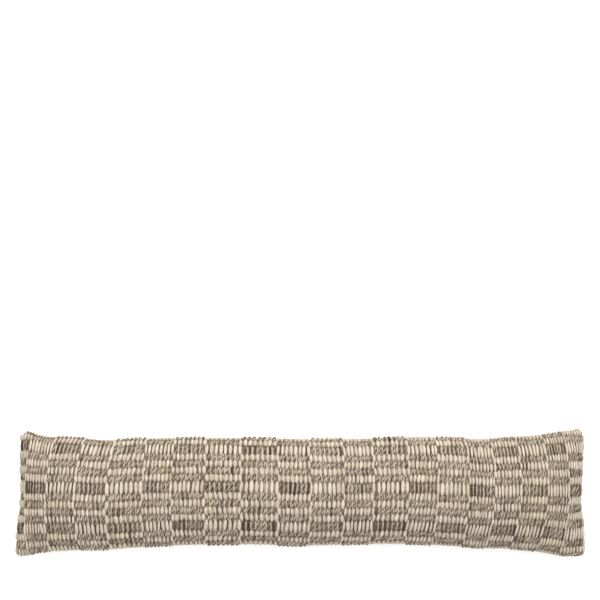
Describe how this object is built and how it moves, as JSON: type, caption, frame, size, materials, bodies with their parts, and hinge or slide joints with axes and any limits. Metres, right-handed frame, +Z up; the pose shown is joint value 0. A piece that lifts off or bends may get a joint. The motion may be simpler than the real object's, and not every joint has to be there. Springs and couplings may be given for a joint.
{
  "type": "draught excluder",
  "caption": "Long stuffed cushion that lies along the foot of a door to stop draughts, in a thick ribbed two-tone woven cloth with sewn edges.",
  "frame": {"origin": "on the floor, under the middle of the outline seen from above", "axes": "+X along its length, +Y across its width towards the edge that is uppermost in the picture, +Z up out of its front face"},
  "size_m": [0.8978, 0.2006, 0.0743],
  "materials": {
    "ribbed_cloth": "thick coarse rep weave, matte, cream and brown yarn in staggered blocks"
  },
  "bodies": {
    "root": {"filled_cover": "ribbed_cloth"}
  },
  "joints": []
}
